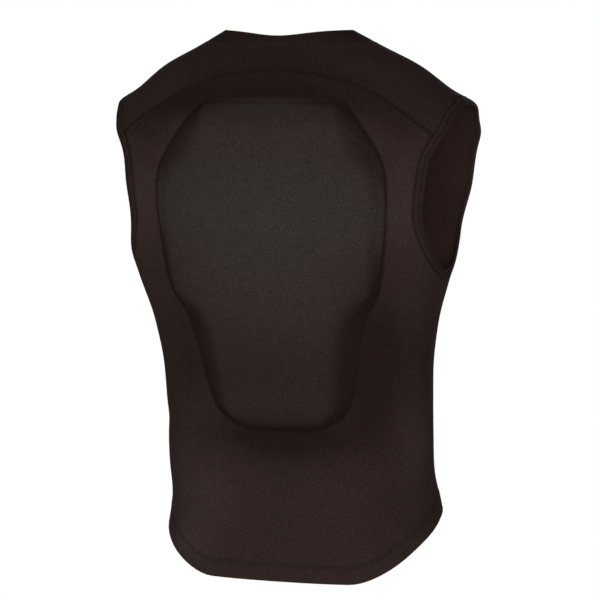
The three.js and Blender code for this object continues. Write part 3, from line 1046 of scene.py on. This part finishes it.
@dataclass
class ClothPiece:
    """Piece of cloth that is draped over the body form as a grid and then given its thickness."""

    pattern: Pattern
    finish: KnitFinish
    name: str = ""
    node: str = ""
    slot: Slot = Slot.PANEL
    wall: float = 2.0
    lap: float = 0.25
    weld: float = 0.01
    flat: tuple[float, float] = (0.5, 0.5)
    area: float | None = None
    rests_on: tuple[str, ...] = ()
    welded: bool = False

    def drape(self) -> Drape:
        """Lays the cloth over the body form."""
        raise NotImplementedError

    def build(self) -> bpy.types.Object:
        """Returns:
            The piece.
        """
        bm = self.grid(self.drape())
        self.face_outwards(bm)
        self.lap_edges(bm)
        piece = new_piece(self.name, bm, self.finish.material())
        self.thicken(piece)
        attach(piece, BODY)
        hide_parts(self.node)
        return piece

    def grid(self, drape: Drape) -> bmesh.types.BMesh:
        """Makes a flat grid and lays it where the drape says.

        Args:
            drape: the cloth's places.

        Returns:
            The draped grid, with its cloth coordinates and attributes.
        """
        points = drape.points(self.pattern.body)
        above_hem = drape.places[..., 1] - self.pattern.hem.height(drape.places[..., 0])
        bm = unit_grid(drape.lift.shape)
        stretch = bm.verts.layers.float.new(STRETCH_AND_PAINTED_LIGHT)
        hem_height = bm.verts.layers.float.new(HEM_HEIGHT)
        cloth = bm.loops.layers.uv.new(CLOTH_UV)
        spots = grid_spots(bm, drape.lift.shape)
        for face in bm.faces:
            for loop in face.loops:
                loop[cloth].uv = drape.uv[spots[loop.vert]]
        for vert, spot in spots.items():
            vert.co = points[spot] * MM
            vert[stretch] = drape.stretch[spot]
            vert[hem_height] = above_hem[spot]
        if self.welded:
            bmesh.ops.remove_doubles(bm, verts=bm.verts[:], dist=self.weld * MM)
        return bm

    def face_outwards(self, bm: bmesh.types.BMesh) -> None:
        """Turns the faces of the open panel over if they look towards the wearer.

        Args:
            bm: the draped grid.
        """
        bm.normal_update()
        outward = 0.0
        for face in bm.faces:
            outward += face.normal.dot(face.calc_center_median() - BODY_CENTRE) * face.calc_area()
        if outward < 0:
            bmesh.ops.reverse_faces(bm, faces=bm.faces[:])

    def lap_edges(self, bm: bmesh.types.BMesh) -> None:
        """Draws the open edges a little outwards, so that sewn edges press together.

        Args:
            bm: the draped grid.
        """
        moves = {}
        for vert in (vert for vert in bm.verts if vert.is_boundary):
            inner = [edge.other_vert(vert) for edge in vert.link_edges if not edge.is_boundary]
            away = sum((vert.co - other.co for other in inner), Vector())
            moves[vert] = away.normalized() * self.lap * MM
        for vert, move in moves.items():
            vert.co += move

    def thicken(self, piece: bpy.types.Object) -> None:
        """Gives the cloth its thickness inwards and rounds it, with its edges kept.

        Args:
            piece: the piece.
        """
        wall = piece.modifiers.new("wall", "SOLIDIFY")
        wall.thickness = self.wall * MM
        wall.offset = -1.0
        wall.use_quality_normals = True
        wall.edge_crease_rim = wall.edge_crease_outer = wall.edge_crease_inner = 1.0
        round_off(piece)


@dataclass
class BackPanel(ClothPiece):
    """Back below the yoke, in rings from the cover's seam out to yoke, armholes, sides and hem."""

    name: str = "back_cloth"
    node: str = "back_panel"
    flat: tuple[float, float] = (0.46, 0.61)
    area: float | None = 0.134
    rests_on: tuple[str, ...] = ("protector_cover",)
    welded: bool = True
    rings: int = 26
    tightness: float = 0.53
    # Heights over which the painted shade along the cover's seam and along the outer seams fades in.
    cover_seam_from: Span = (-66, -80)
    outer_seam_from: Span = (-300, -280)

    def drape(self) -> Drape:
        """Lays rings round the cover.

        Returns:
            The drape, from the cover's seam outwards.
        """
        pattern = self.pattern
        inside = both_halves(pattern.cover_seam())
        outline = joined(pattern.yoke_line, pattern.arm_back, pattern.side, pattern.back_hem)
        outside = both_halves(outline)
        ring = eased_shares(self.rings)[:, None]
        places = mixed(inside[None], outside[None], ring)
        reach = np.linalg.norm(pattern.body.points(outside) - pattern.body.points(inside), axis=-1)[None]
        # Painted shade along the cover's seam and along the yoke and armhole seams, and the painted
        # light and shade of the patches.
        shade = seam_shade(ring * reach) * smooth(*self.cover_seam_from, inside[:, 1])
        shade += seam_shade((1 - ring) * reach) * smooth(*self.outer_seam_from, outside[:, 1])
        stretch = self.tightness + pattern.tone(places, BACK_PATCHES) - shade
        return Drape(places, pattern.swell(places), stretch, cloth_uv(places))


@dataclass
class ProtectorCover(ClothPiece):
    """Moulded panel over the protector, with its raised column, wings and rounded foot."""

    name: str = "cover_cloth"
    node: str = "protector_cover"
    slot: Slot = Slot.COVER
    flat: tuple[float, float] = (0.32, 0.44)
    area: float | None = 0.104
    rests_on: tuple[str, ...] = ("pad_core",)
    column_steps: int = 12
    wing_steps: int = 10
    slope_steps: int = 8
    # Painted shade on the cover's slopes and a painted highlight on its raised top, by how far the
    # relief rises.
    slack_slope: float = 0.2
    tight_top: float = 0.65
    tight_from: Span = (5.0, 18.0)
    soft_seam: float = 0.7
    soft_top: Span = (-2.0, 26.0)
    soft_foot: Span = (-4.0, 9.0)
    easing: int = 30

    def profile(self, z: Array) -> tuple[Array, Array]:
        """Gives the cover's profile across the back, row by row.

        Args:
            z: heights of the rows.

        Returns:
            x and rise of each point, in millimetres.
        """
        table = self.pattern.protector
        row = {name: table.at(name, z)[:, None] for name in table.columns}
        crown = np.minimum(row["rise"], SPINE_CROWN)
        t = shares(self.column_steps)
        column = (row["column"] * t, row["rise"] + crown * (1 - t * t))
        t = shares(self.wing_steps)[1:]
        wing = (
            row["column"] + (row["wing"] - row["column"]) * t,
            row["rise"] + (row["wing_rise"] - row["rise"]) * smooth(0.0, 1.0, t),
        )
        t = shares(self.slope_steps)[1:]
        rounded = np.cos(QUARTER * t)
        run_out = rounded + self.soft_seam * (1 - smooth(0.0, 1.0, t) - rounded)
        slope = (row["wing"] + (row["seam"] - row["wing"]) * t, row["wing_rise"] * run_out)
        x, rise = (np.concatenate(parts, axis=1) for parts in zip(column, wing, slope))
        rise *= (smooth(*self.soft_top, z[0] - z) * smooth(*self.soft_foot, z - z[-1]))[:, None]
        return (
            np.concatenate([-x[:, :0:-1], x], axis=1),
            np.concatenate([rise[:, :0:-1], rise], axis=1),
        )

    def drape(self) -> Drape:
        """Lays the moulded rows over the back.

        Returns:
            The drape, from the top seam down.
        """
        heights = self.pattern.cover_heights()
        x, rise = self.profile(heights)
        z = np.broadcast_to(heights[:, None], x.shape)
        places = self.pattern.body.back_places(x, z)
        rise = self.eased(rise)
        # Painted highlight where the relief rises, painted shade on its slopes and along its seam, and
        # the patches' painted light and shade.
        tightness = smooth(*self.tight_from, rise)
        stretch = self.slack_slope + (self.tight_top - self.slack_slope) * tightness
        stretch += self.pattern.tone(places, COVER_PATCHES)
        from_side = self.pattern.protector.at("seam", z) - np.abs(x)
        stretch -= seam_shade(np.minimum(from_side, z - heights[-1]))
        return Drape(places, rise, stretch, np.stack([x, z], axis=-1) * MM)

    def eased(self, rise: Array) -> Array:
        """Draws the corners of the relief round, as cloth shows them, and keeps its seam.

        Args:
            rise: the relief, row by row.

        Returns:
            The softened relief.
        """
        soft = rise.copy()
        for _ in range(self.easing):
            beside = (soft[1:-1, :-2] + soft[1:-1, 2:] + soft[:-2, 1:-1] + soft[2:, 1:-1]) / 4
            soft[1:-1, 1:-1] = (soft[1:-1, 1:-1] + beside) / 2
        return soft


@dataclass
class FrontPanel(ClothPiece):
    """Plain front, in rows from side to side, from the neck and shoulders down to the hem."""

    name: str = "front_cloth"
    node: str = "front_panel"
    flat: tuple[float, float] = (0.5, 0.57)
    area: float | None = 0.24
    middle: float = -400
    bow_power: float = 3.0
    tightness: float = 0.5
    # Painted light on the inner face beside each armpit, which lies in shade inside the armhole.
    armpit: float = 0.4
    armpit_height: float = -268
    armpit_reach: float = 40
    armpit_from: Span = (0.5, 1.0)
    # The inner face's paler colours are painted light for the shaded inside of the front.
    lining: KnitFinish = KnitFinish(
        "lining_knit", worn=(0.046, 0.0255, 0.023, 1.0), pale=(0.085, 0.047, 0.043, 1.0), worn_at=0.5
    )

    def thicken(self, piece: bpy.types.Object) -> None:
        """Gives the cloth its thickness and lines its inner face.

        Args:
            piece: the piece.
        """
        super().thicken(piece)
        # The inner face takes the paler finish with its painted light.
        piece.data.materials.append(self.lining.material())
        piece.modifiers["wall"].material_offset = 1

    def drape(self) -> Drape:
        """Lays rows that bow with the neck and the hem near them and run straight between.

        Returns:
            The drape, from the top down.
        """
        pattern = self.pattern
        top = joined(pattern.shoulder[::-1], pattern.throat)
        hem = pattern.front_hem
        edge = joined(pattern.arm_front[::-1], pattern.side)
        turn = len(pattern.arm_front)
        centre = joined(
            np.linspace(pattern.neck_seam.front, self.middle, turn),
            np.linspace(self.middle, pattern.hem.front, len(edge) - turn + 1),
        )
        across = shares(len(top) - 1)
        down = shares(len(edge) - 1)[:, None, None]
        centre_places = np.stack([np.full(centre.shape, HALF_TURN), centre], axis=-1)
        straight = mixed(edge[:, None], centre_places[:, None], across[None])
        bows = [(chain - mixed(chain[:1], chain[-1:], across))[None] for chain in (top, hem)]
        left = straight + (1 - down) ** self.bow_power * bows[0] + down**self.bow_power * bows[1]
        right = np.array([FULL_TURN, 0.0]) + mirrored(left[:, -2::-1])
        places = np.concatenate([left, right], axis=1)
        # Painted light beside each armpit, for the inner face seen through the armhole.
        from_front = np.abs(places[..., 0] - HALF_TURN)
        from_armpit = (places[..., 1] - self.armpit_height) / self.armpit_reach
        drawn = smooth(*self.armpit_from, from_front) * np.exp(-(from_armpit**2))
        stretch = self.tightness + self.armpit * drawn
        return Drape(places, pattern.swell(places), stretch, cloth_uv(places))


@dataclass
class ShoulderYoke(ClothPiece):
    """Saddle over both shoulders, from the neck out to the armholes and the seam across the back."""

    name: str = "yoke_cloth"
    node: str = "shoulder_yoke"
    slot: Slot = Slot.YOKE
    flat: tuple[float, float] = (0.44, 0.13)
    area: float | None = 0.038
    rows: int = 24
    tightness: float = 0.45

    def drape(self) -> Drape:
        """Lays rows from the neck outwards.

        Returns:
            The drape, from the neck seam to the outer edge.
        """
        pattern = self.pattern
        outside = both_halves(joined(pattern.arm_top, pattern.yoke_line[::-1]))
        inside = pattern.neck_seam.places(pattern.nape_angles)
        places = mixed(inside[None], outside[None], eased_shares(self.rows)[:, None])
        points = pattern.body.points(places)
        across, down = run_along(points, axis=1), run_along(points, axis=0)
        # Painted light and shade of the patches, and painted shade along the yoke seam.
        stretch = self.tightness + pattern.tone(places, YOKE_PATCHES) - seam_shade(down[-1] - down)
        uv = np.stack([across, down], axis=-1) * MM
        return Drape(places, np.zeros(stretch.shape), stretch, uv)


@dataclass
class FoldedBand(ClothPiece):
    """Doubled band that is folded over an edge, as a closed loop with a rounded section."""

    slot: Slot = Slot.BAND
    wall: float = 3.0
    width: float = 15.0
    section_steps: int = 20
    squareness: float = 3.5
    crown: float = 0.6
    tuck: float = 0.06
    groove: float = 0.5
    groove_at: float = 0.63
    groove_width: float = 0.12
    welded: bool = True
    tightness: float = 0.25
    # Painted highlights and shade in stripes across the band's ridges, and painted light on its inner
    # face.
    ridge_tone: float = 0.2
    ridge_at: float = 0.3
    ridges: float = 3.0
    inner_tightness: float = 0.6
    outer_from: Span = (-0.2, 0.8)

    def lines(self) -> tuple[Array, Array]:
        """Gives the band's seam and its free edge as closed loops of places."""
        raise NotImplementedError

    def drape(self) -> Drape:
        """Runs a rounded section round the loop.

        Returns:
            The drape, with a row for each place of the section.
        """
        seam, edge = self.lines()
        turn = FULL_TURN * shares(self.section_steps)
        reach, depth = np.cos(turn), np.sin(turn)
        share = (1 - np.sign(reach) * np.abs(reach) ** (2 / self.squareness)) / 2
        level = np.sign(depth) * np.abs(depth) ** (2 / self.squareness)
        outer = np.maximum(level, 0.0)
        lift = (level - 1) * self.wall / 2 + outer * self.crown * np.sin(HALF_TURN * share)
        lift -= outer * self.groove * np.exp(-(((share - self.groove_at) / self.groove_width) ** 2))
        # Painted highlights and shade across the ridges, and painted light on the inner face.
        ridge = np.cos(self.ridges * HALF_TURN * (share - self.ridge_at))
        tone = self.tightness + self.ridge_tone * ridge
        tone = self.inner_tightness + (tone - self.inner_tightness) * smooth(*self.outer_from, level)
        share = share * (1 + self.tuck) - self.tuck
        places = mixed(seam[None], edge[None], np.broadcast_to(share[:, None], (len(share), len(seam))))
        along = run_along(self.pattern.body.points(seam))
        section = run_along(np.stack([share * self.width, lift], axis=-1))
        uv = np.stack(np.broadcast_arrays(along[None], section[:, None]), axis=-1) * MM
        lifts, tones = (np.broadcast_to(values[:, None], places.shape[:-1]) for values in (lift, tone))
        return Drape(places, lifts, tones, uv)

    def face_outwards(self, bm: bmesh.types.BMesh) -> None:
        """Turns the faces of the closed band out of its section."""
        bmesh.ops.recalc_face_normals(bm, faces=bm.faces[:])

    def thicken(self, piece: bpy.types.Object) -> None:
        """Rounds the closed band, which has its thickness already."""
        round_off(piece)


@dataclass
class Neckband(FoldedBand):
    """Band round the neck."""

    name: str = "neckband_cloth"
    node: str = "neckband"
    flat: tuple[float, float] = (0.59, 0.022)
    tightness: float = 0.1
    ridge_tone: float = 0.06

    def lines(self) -> tuple[Array, Array]:
        """Gives the band's lines from the left front corner round the nape.

        Returns:
            The neck seam and the band's top edge.
        """
        pattern = self.pattern
        corner = pattern.neck_corner_angle
        front = pattern.fine_span(-corner, corner - FULL_TURN, 2 * pattern.throat_steps)
        angles = joined(pattern.nape_angles, front)
        return pattern.neck_seam.places(angles), pattern.neck_top.places(angles)


@dataclass
class ArmholeBand(FoldedBand):
    """Band round one armhole."""

    side: Side = Side.LEFT
    flat: tuple[float, float] = (0.62, 0.012)
    # Painted light on the inner face of the armhole band.
    inner_tightness: float = 1.0

    def __post_init__(self) -> None:
        """Names the band after its side."""
        word = self.side.name.lower()
        self.name = f"armhole_cloth_{word}"
        self.node = f"armhole_band_{word}"

    def lines(self) -> tuple[Array, Array]:
        """Gives the band's lines from the shoulder round the back.

        Returns:
            The band's seam and the armhole's edge.
        """
        pattern = self.pattern
        to_side = np.array([self.side.value, 1.0])
        seam, edge = (
            line(pattern.body, pattern.arm_turns) * to_side
            for line in (pattern.armhole.seam, pattern.armhole.edge)
        )
        return seam, edge


@dataclass
class ProtectorPad:
    """The protector behind its cover, down to the level of the cloth's inner face."""

    cover: ProtectorCover
    finish: FoamFinish
    name: str = "pad_core"
    node: str = "protector_pad"
    pocket_gap: float = 0.4
    margin: int = 3
    fill: float = 0.9

    def build(self) -> bpy.types.Object:
        """Returns:
            The pad.
        """
        piece = new_piece(self.name, self.closed_body(), self.finish.material())
        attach(piece, BODY)
        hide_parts(self.node)
        return piece

    def closed_body(self) -> bmesh.types.BMesh:
        """Makes the outer face as a grid and draws it in to the face against the wearer.

        Returns:
            The closed body.
        """
        drape = self.cover.drape()
        body = self.cover.pattern.body
        keep = slice(self.margin, -self.margin)
        face = drape.points(body)
        out = unit(np.cross(np.gradient(face, axis=1), np.gradient(face, axis=0)))
        sunk = (face - out * (self.cover.wall + self.pocket_gap))[keep, keep]
        base = body.points(drape.places) - body.normals(drape.places) * self.cover.wall
        base = base[keep, keep]
        bm = unit_grid(sunk.shape[:2])
        drawn = bmesh.ops.extrude_face_region(bm, geom=bm.faces[:], use_keep_orig=True)["geom"]
        inner = {item for item in drawn if isinstance(item, bmesh.types.BMVert)}
        for vert, spot in grid_spots(bm, sunk.shape[:2]).items():
            vert.co = (base if vert in inner else sunk)[spot] * MM
        bmesh.ops.recalc_face_normals(bm, faces=bm.faces[:])
        return bm


@dataclass
class Stitching:
    """Rows of sewing thread along lines of places, as one piece of many small lozenges."""

    pattern: Pattern
    finish: ThreadFinish
    name: str
    rows: list[Array]
    slot: Slot = Slot.PANEL
    pitch: float = 3.2
    length: float = 2.6
    width: float = 0.7
    height: float = 0.5
    proud: float = 0.15

    def build(self) -> bpy.types.Object:
        """Returns:
            The piece.
        """
        bm = bmesh.new()
        size = Matrix.Diagonal((self.length / 2, self.width / 2, self.height / 2, 1.0))
        for row in self.rows:
            for seat in self.seats(row):
                place = Matrix.Scale(MM, 4) @ Matrix(seat.tolist()).to_4x4() @ size
                bmesh.ops.create_icosphere(bm, subdivisions=1, radius=1.0, matrix=place)
        piece = new_piece(self.name, bm, self.finish.material())
        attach(piece, BODY)
        return piece

    def seats(self, row: Array) -> Array:
        """Places the stitches of a row on the worn cloth.

        Args:
            row: places along the row.

        Returns:
            A 3 by 4 matrix for each stitch: its axes and its place, in millimetres.
        """
        body = self.pattern.body
        run = run_along(body.points(row))
        count = max(int(run[-1] / self.pitch), 2)
        stations = (np.arange(count) + 0.5) * run[-1] / count
        places = np.stack([np.interp(stations, run, row[:, k]) for k in range(2)], axis=-1)
        out = body.normals(places)
        along = np.gradient(body.points(places), axis=0)
        along = unit(along - out * np.sum(along * out, axis=-1, keepdims=True))
        lift = self.pattern.swell(places) + self.height * self.proud
        spots = body.points(places) + out * lift[:, None]
        return np.stack([along, np.cross(out, along), out, spots], axis=-1)


@dataclass(frozen=True)
class StitchPlan:
    """Distances of the rows of stitches from the hem, the yoke seam, the cover's foot and the bands."""

    hem_rows: Span = (18.5, 21.5)
    above_yoke: float = 3.0
    below_foot: float = 9.0
    foot_top: float = -380
    beside_band: float = 2.5
    hem_steps: int = 400
    neck_steps: int = 200

    def pieces(self, pattern: Pattern, thread: ThreadFinish) -> list[Stitching]:
        """Lists the jersey's visible rows of stitches.

        Args:
            pattern: the seam lines.
            thread: the thread's finish.

        Returns:
            The rows, by seam.
        """
        body = pattern.body
        hem = pattern.hem.places(FULL_TURN * shares(self.hem_steps))
        yoke = joined(mirrored(pattern.yoke_line[::-1]), pattern.yoke_line)
        cover = both_halves(pattern.cover_seam())
        foot = cover[cover[:, 1] < self.foot_top]
        neck = pattern.neck_seam.places(FULL_TURN * shares(self.neck_steps))
        armhole = body.offset(pattern.armhole.seam(body, pattern.arm_turns), self.beside_band)
        rows = {
            "hem_stitches": [body.offset(hem, -distance) for distance in self.hem_rows],
            "yoke_stitches": [body.offset(yoke, -self.above_yoke)],
            "cover_stitches": [body.offset(foot, -self.below_foot)],
            "neck_stitches": [body.offset(neck, self.beside_band)],
            "armhole_stitches": [armhole, mirrored(armhole)],
        }
        return [Stitching(pattern, thread, name, lines) for name, lines in rows.items()]


@dataclass(frozen=True)
class Lamp:
    """Soft square light: its name, its direction from the target, its side in metres and its watts."""

    name: str
    azimuth: float
    elevation: float
    size: float
    power: float


@dataclass
class Studio:
    """Pale floor, white surroundings, soft light and the camera."""

    floor_height: float = -1.45
    floor_radius: float = 2.0
    floor_segments: int = 96
    floor_colour: Colour = (0.85, 0.85, 0.85, 1.0)
    floor_roughness: float = 0.9
    white: Colour = (1.0, 1.0, 1.0, 1.0)
    ambient: float = 0.42
    azimuth: float = math.radians(18)
    elevation: float = math.radians(5.8)
    distance: float = 3.2
    target: Vector = field(default_factory=lambda: Vector((-0.0047, -0.024, -0.3134)))
    frame_pixels: float = 600.0
    metres_per_pixel: float = 0.0012152
    sensor: float = 36.0
    light_distance: float = 2.6
    lamps: tuple[Lamp, ...] = (
        Lamp("key", math.radians(-22), math.radians(-2), 1.4, 12.0),
        Lamp("side", math.radians(20), math.radians(6), 1.2, 37.0),
        Lamp("fill", math.radians(195), math.radians(15), 2.0, 40.0),
    )

    def build(self) -> None:
        """Builds the floor, the surroundings, the lights and the camera."""
        bpy.context.scene.view_settings.view_transform = "Standard"
        self.add_floor()
        self.add_surroundings()
        for lamp in self.lamps:
            self.add_light(lamp)
        self.add_camera()

    def add_floor(self) -> None:
        """Adds a plain pale disc at the height that the wearer would stand on."""
        bm = bmesh.new()
        bmesh.ops.create_circle(
            bm,
            cap_ends=True,
            segments=self.floor_segments,
            radius=self.floor_radius,
            matrix=Matrix.Translation((0.0, 0.0, self.floor_height)),
        )
        pale = bpy.data.materials.new("studio_floor")
        pale.use_nodes = True
        shader = pale.node_tree.nodes["Principled BSDF"]
        shader.inputs["Base Color"].default_value = self.floor_colour
        shader.inputs["Roughness"].default_value = self.floor_roughness
        new_piece("studio_floor", bm, pale)

    def add_surroundings(self) -> None:
        """Adds white surroundings, dimmer for the light that they give."""
        world = bpy.data.worlds.new("studio")
        world.use_nodes = True
        world.node_tree.nodes.clear()
        nodes = Nodes(world.node_tree)
        seen = nodes.add("ShaderNodeBackground", {"Color": self.white}).outputs[0]
        given = nodes.add("ShaderNodeBackground", {"Strength": self.ambient}).outputs[0]
        camera_ray = nodes.add("ShaderNodeLightPath").outputs["Is Camera Ray"]
        mix = nodes.add("ShaderNodeMixShader", {0: camera_ray, 1: given, 2: seen})
        nodes.add("ShaderNodeOutputWorld", {0: mix.outputs[0]})
        bpy.context.scene.world = world

    def add_light(self, lamp: Lamp) -> None:
        """Adds a soft square light.

        Args:
            lamp: what the light is like.
        """
        light = bpy.data.lights.new(lamp.name, "AREA")
        light.shape = "SQUARE"
        light.size = lamp.size
        light.energy = lamp.power
        self.aim(light, lamp.azimuth, lamp.elevation, self.light_distance)

    def add_camera(self) -> None:
        """Adds the camera behind the wearer's right shoulder."""
        lens = bpy.data.cameras.new("camera")
        lens.sensor_width = self.sensor
        lens.lens = self.sensor * self.distance / (self.frame_pixels * self.metres_per_pixel)
        bpy.context.scene.camera = self.aim(lens, self.azimuth, self.elevation, self.distance)

    def aim(
        self, data: bpy.types.ID, azimuth: float, elevation: float, distance: float
    ) -> bpy.types.Object:
        """Adds a light or a camera that looks at the target.

        Args:
            data: the light or the camera, which gives its name.
            azimuth: angle from straight behind the wearer towards the wearer's right.
            elevation: angle above level.
            distance: metres from the target.

        Returns:
            Its object.
        """
        level = math.cos(elevation)
        way = Vector((-math.sin(azimuth) * level, math.cos(azimuth) * level, math.sin(elevation)))
        item = bpy.data.objects.new(data.name, data)
        item.location = self.target + way * distance
        item.rotation_mode = "QUATERNION"
        item.rotation_quaternion = (-way).to_track_quat("-Z", "Y")
        bpy.context.scene.collection.objects.link(item)
        return item


def main() -> None:
    """Builds the studio and the jersey's pieces in order."""
    logging.basicConfig(level=logging.INFO, format="%(name)s: %(message)s")
    Studio().build()
    pattern = Pattern(BodyForm(SECTIONS))
    knit = KnitFinish("stretch_knit")
    front_knit = KnitFinish("front_knit", pale=KnitFinish.worn)
    band_knit = KnitFinish("band_knit", wale=0.0014)
    cover_knit = KnitFinish(
        "cover_knit",
        worn=(0.0235, 0.0150, 0.0130, 1.0),
        pale=(0.0355, 0.0300, 0.0270, 1.0),
        worn_at=0.42,
    )
    cover = ProtectorCover(pattern, cover_knit)
    parts = [
        ShoulderYoke(pattern, knit),
        BackPanel(pattern, knit),
        cover,
        ProtectorPad(cover, FoamFinish()),
        FrontPanel(pattern, front_knit),
        Neckband(pattern, band_knit),
        *(ArmholeBand(pattern, band_knit, side=side) for side in Side),
        *StitchPlan().pieces(pattern, ThreadFinish()),
    ]
    for part in parts:
        piece = part.build()
        LOG.info("%s is built, with %d faces before its modifiers", piece.name, len(piece.data.polygons))


if __name__ == "__main__":
    main()
